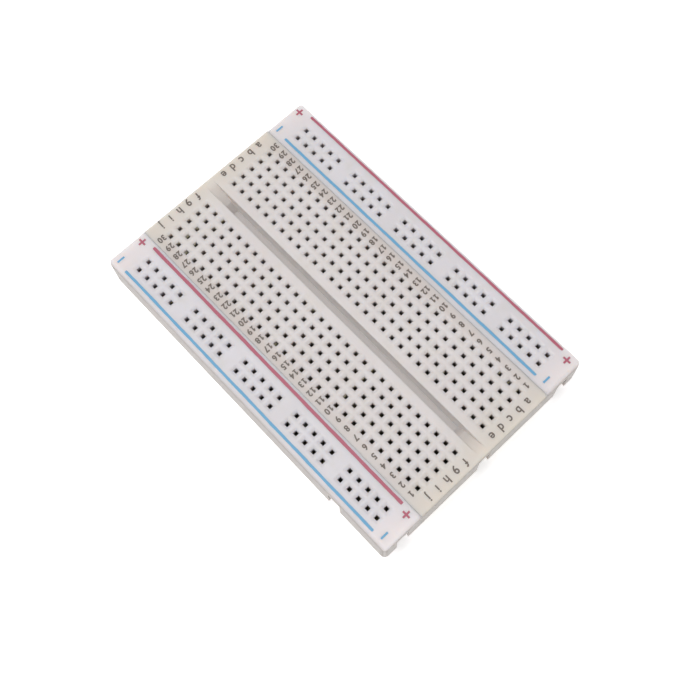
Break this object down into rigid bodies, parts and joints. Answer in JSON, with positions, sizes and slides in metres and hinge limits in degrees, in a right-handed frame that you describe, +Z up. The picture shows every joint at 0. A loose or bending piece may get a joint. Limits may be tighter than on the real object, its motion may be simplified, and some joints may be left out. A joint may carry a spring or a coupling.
{
  "type": "solderless breadboard",
  "caption": "Half-size solderless breadboard: terminal block with centre ravine between two dovetailed power rails, sprung clips inside, foam backing.",
  "frame": {"origin": "middle of the underside of the release liner under the terminal block, which is the middle of the board's outline without its dovetail tabs", "axes": "+X along the board's length towards column 1, +Y across it towards row a and the rear power rail, +Z up out of the contact holes"},
  "size_m": [0.0844, 0.0558, 0.0095],
  "materials": {
    "block_plastic": "moulded ABS, warm off-white, light satin",
    "rail_plastic": "moulded ABS, cooler off-white, light satin",
    "clip_metal": "nickel-plated spring bronze, slightly yellowed",
    "foam": "closed-cell foam tape, matt",
    "liner_paper": "waxed release paper, pale yellow"
  },
  "bodies": {
    "block": {"terminal_block": "block_plastic", "terminal_clips_01": "clip_metal", "terminal_clips_02": "clip_metal", "terminal_clips_03": "clip_metal", "terminal_clips_04": "clip_metal", "terminal_clips_05": "clip_metal", "terminal_clips_06": "clip_metal", "terminal_clips_07": "clip_metal", "terminal_clips_08": "clip_metal", "terminal_clips_09": "clip_metal", "terminal_clips_10": "clip_metal", "terminal_clips_11": "clip_metal", "terminal_clips_12": "clip_metal", "terminal_clips_13": "clip_metal", "terminal_clips_14": "clip_metal", "terminal_clips_15": "clip_metal", "terminal_clips_16": "clip_metal", "terminal_clips_17": "clip_metal", "terminal_clips_18": "clip_metal", "terminal_clips_19": "clip_metal", "terminal_clips_20": "clip_metal", "terminal_clips_21": "clip_metal", "terminal_clips_22": "clip_metal", "terminal_clips_23": "clip_metal", "terminal_clips_24": "clip_metal", "terminal_clips_25": "clip_metal", "terminal_clips_26": "clip_metal", "terminal_clips_27": "clip_metal", "terminal_clips_28": "clip_metal", "terminal_clips_29": "clip_metal", "terminal_clips_30": "clip_metal", "foam_pad_block": "foam"},
    "front_rail": {"power_rail_front": "rail_plastic", "bus_clip_front_inner": "clip_metal", "bus_clip_front_outer": "clip_metal", "foam_pad_front": "foam"},
    "rear_rail": {"power_rail_rear": "rail_plastic", "bus_clip_rear_inner": "clip_metal", "bus_clip_rear_outer": "clip_metal", "foam_pad_rear": "foam"},
    "block_liner": {"release_liner_block": "liner_paper"},
    "front_liner": {"release_liner_front": "liner_paper"},
    "rear_liner": {"release_liner_rear": "liner_paper"}
  },
  "joints": [
    {"name": "block_lift", "type": "slide", "parent": "front_rail", "child": "block", "axis": [0, 0, 1], "range_m": [0, 0.012]},
    {"name": "rear_rail_lift", "type": "slide", "parent": "block", "child": "rear_rail", "axis": [0, 0, 1], "range_m": [0, 0.012]},
    {"name": "block_liner_peel", "type": "slide", "parent": "block", "child": "block_liner", "axis": [0, 0, -1], "range_m": [0, 0.02]},
    {"name": "front_liner_peel", "type": "slide", "parent": "front_rail", "child": "front_liner", "axis": [0, 0, -1], "range_m": [0, 0.02]},
    {"name": "rear_liner_peel", "type": "slide", "parent": "rear_rail", "child": "rear_liner", "axis": [0, 0, -1], "range_m": [0, 0.02]}
  ]
}
